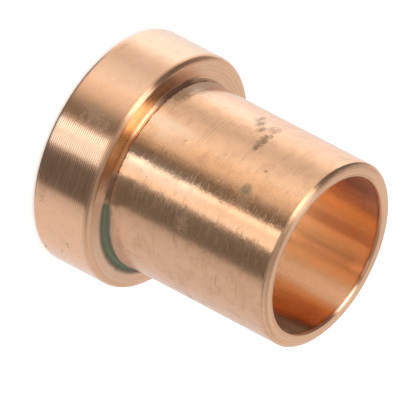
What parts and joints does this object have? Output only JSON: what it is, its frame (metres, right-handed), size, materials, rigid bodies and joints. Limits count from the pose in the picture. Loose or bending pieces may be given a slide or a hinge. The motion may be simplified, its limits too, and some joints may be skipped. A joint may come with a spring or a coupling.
{
  "type": "flanged bushing",
  "caption": "Turned bronze bushing with a round flange, a flat shoulder, a plain barrel and one smooth bore right through.",
  "frame": {"origin": "centre of the flange's flat back face, on which the bushing stands", "axes": "+Z along the bore's axis, from the flange towards the barrel's open end"},
  "size_m": [0.032, 0.032, 0.0347],
  "materials": {
    "bronze": "bright turned bronze with fine feed marks, light handling marks and a green stain at the shoulder"
  },
  "bodies": {
    "root": {"bushing": "bronze"}
  },
  "joints": []
}
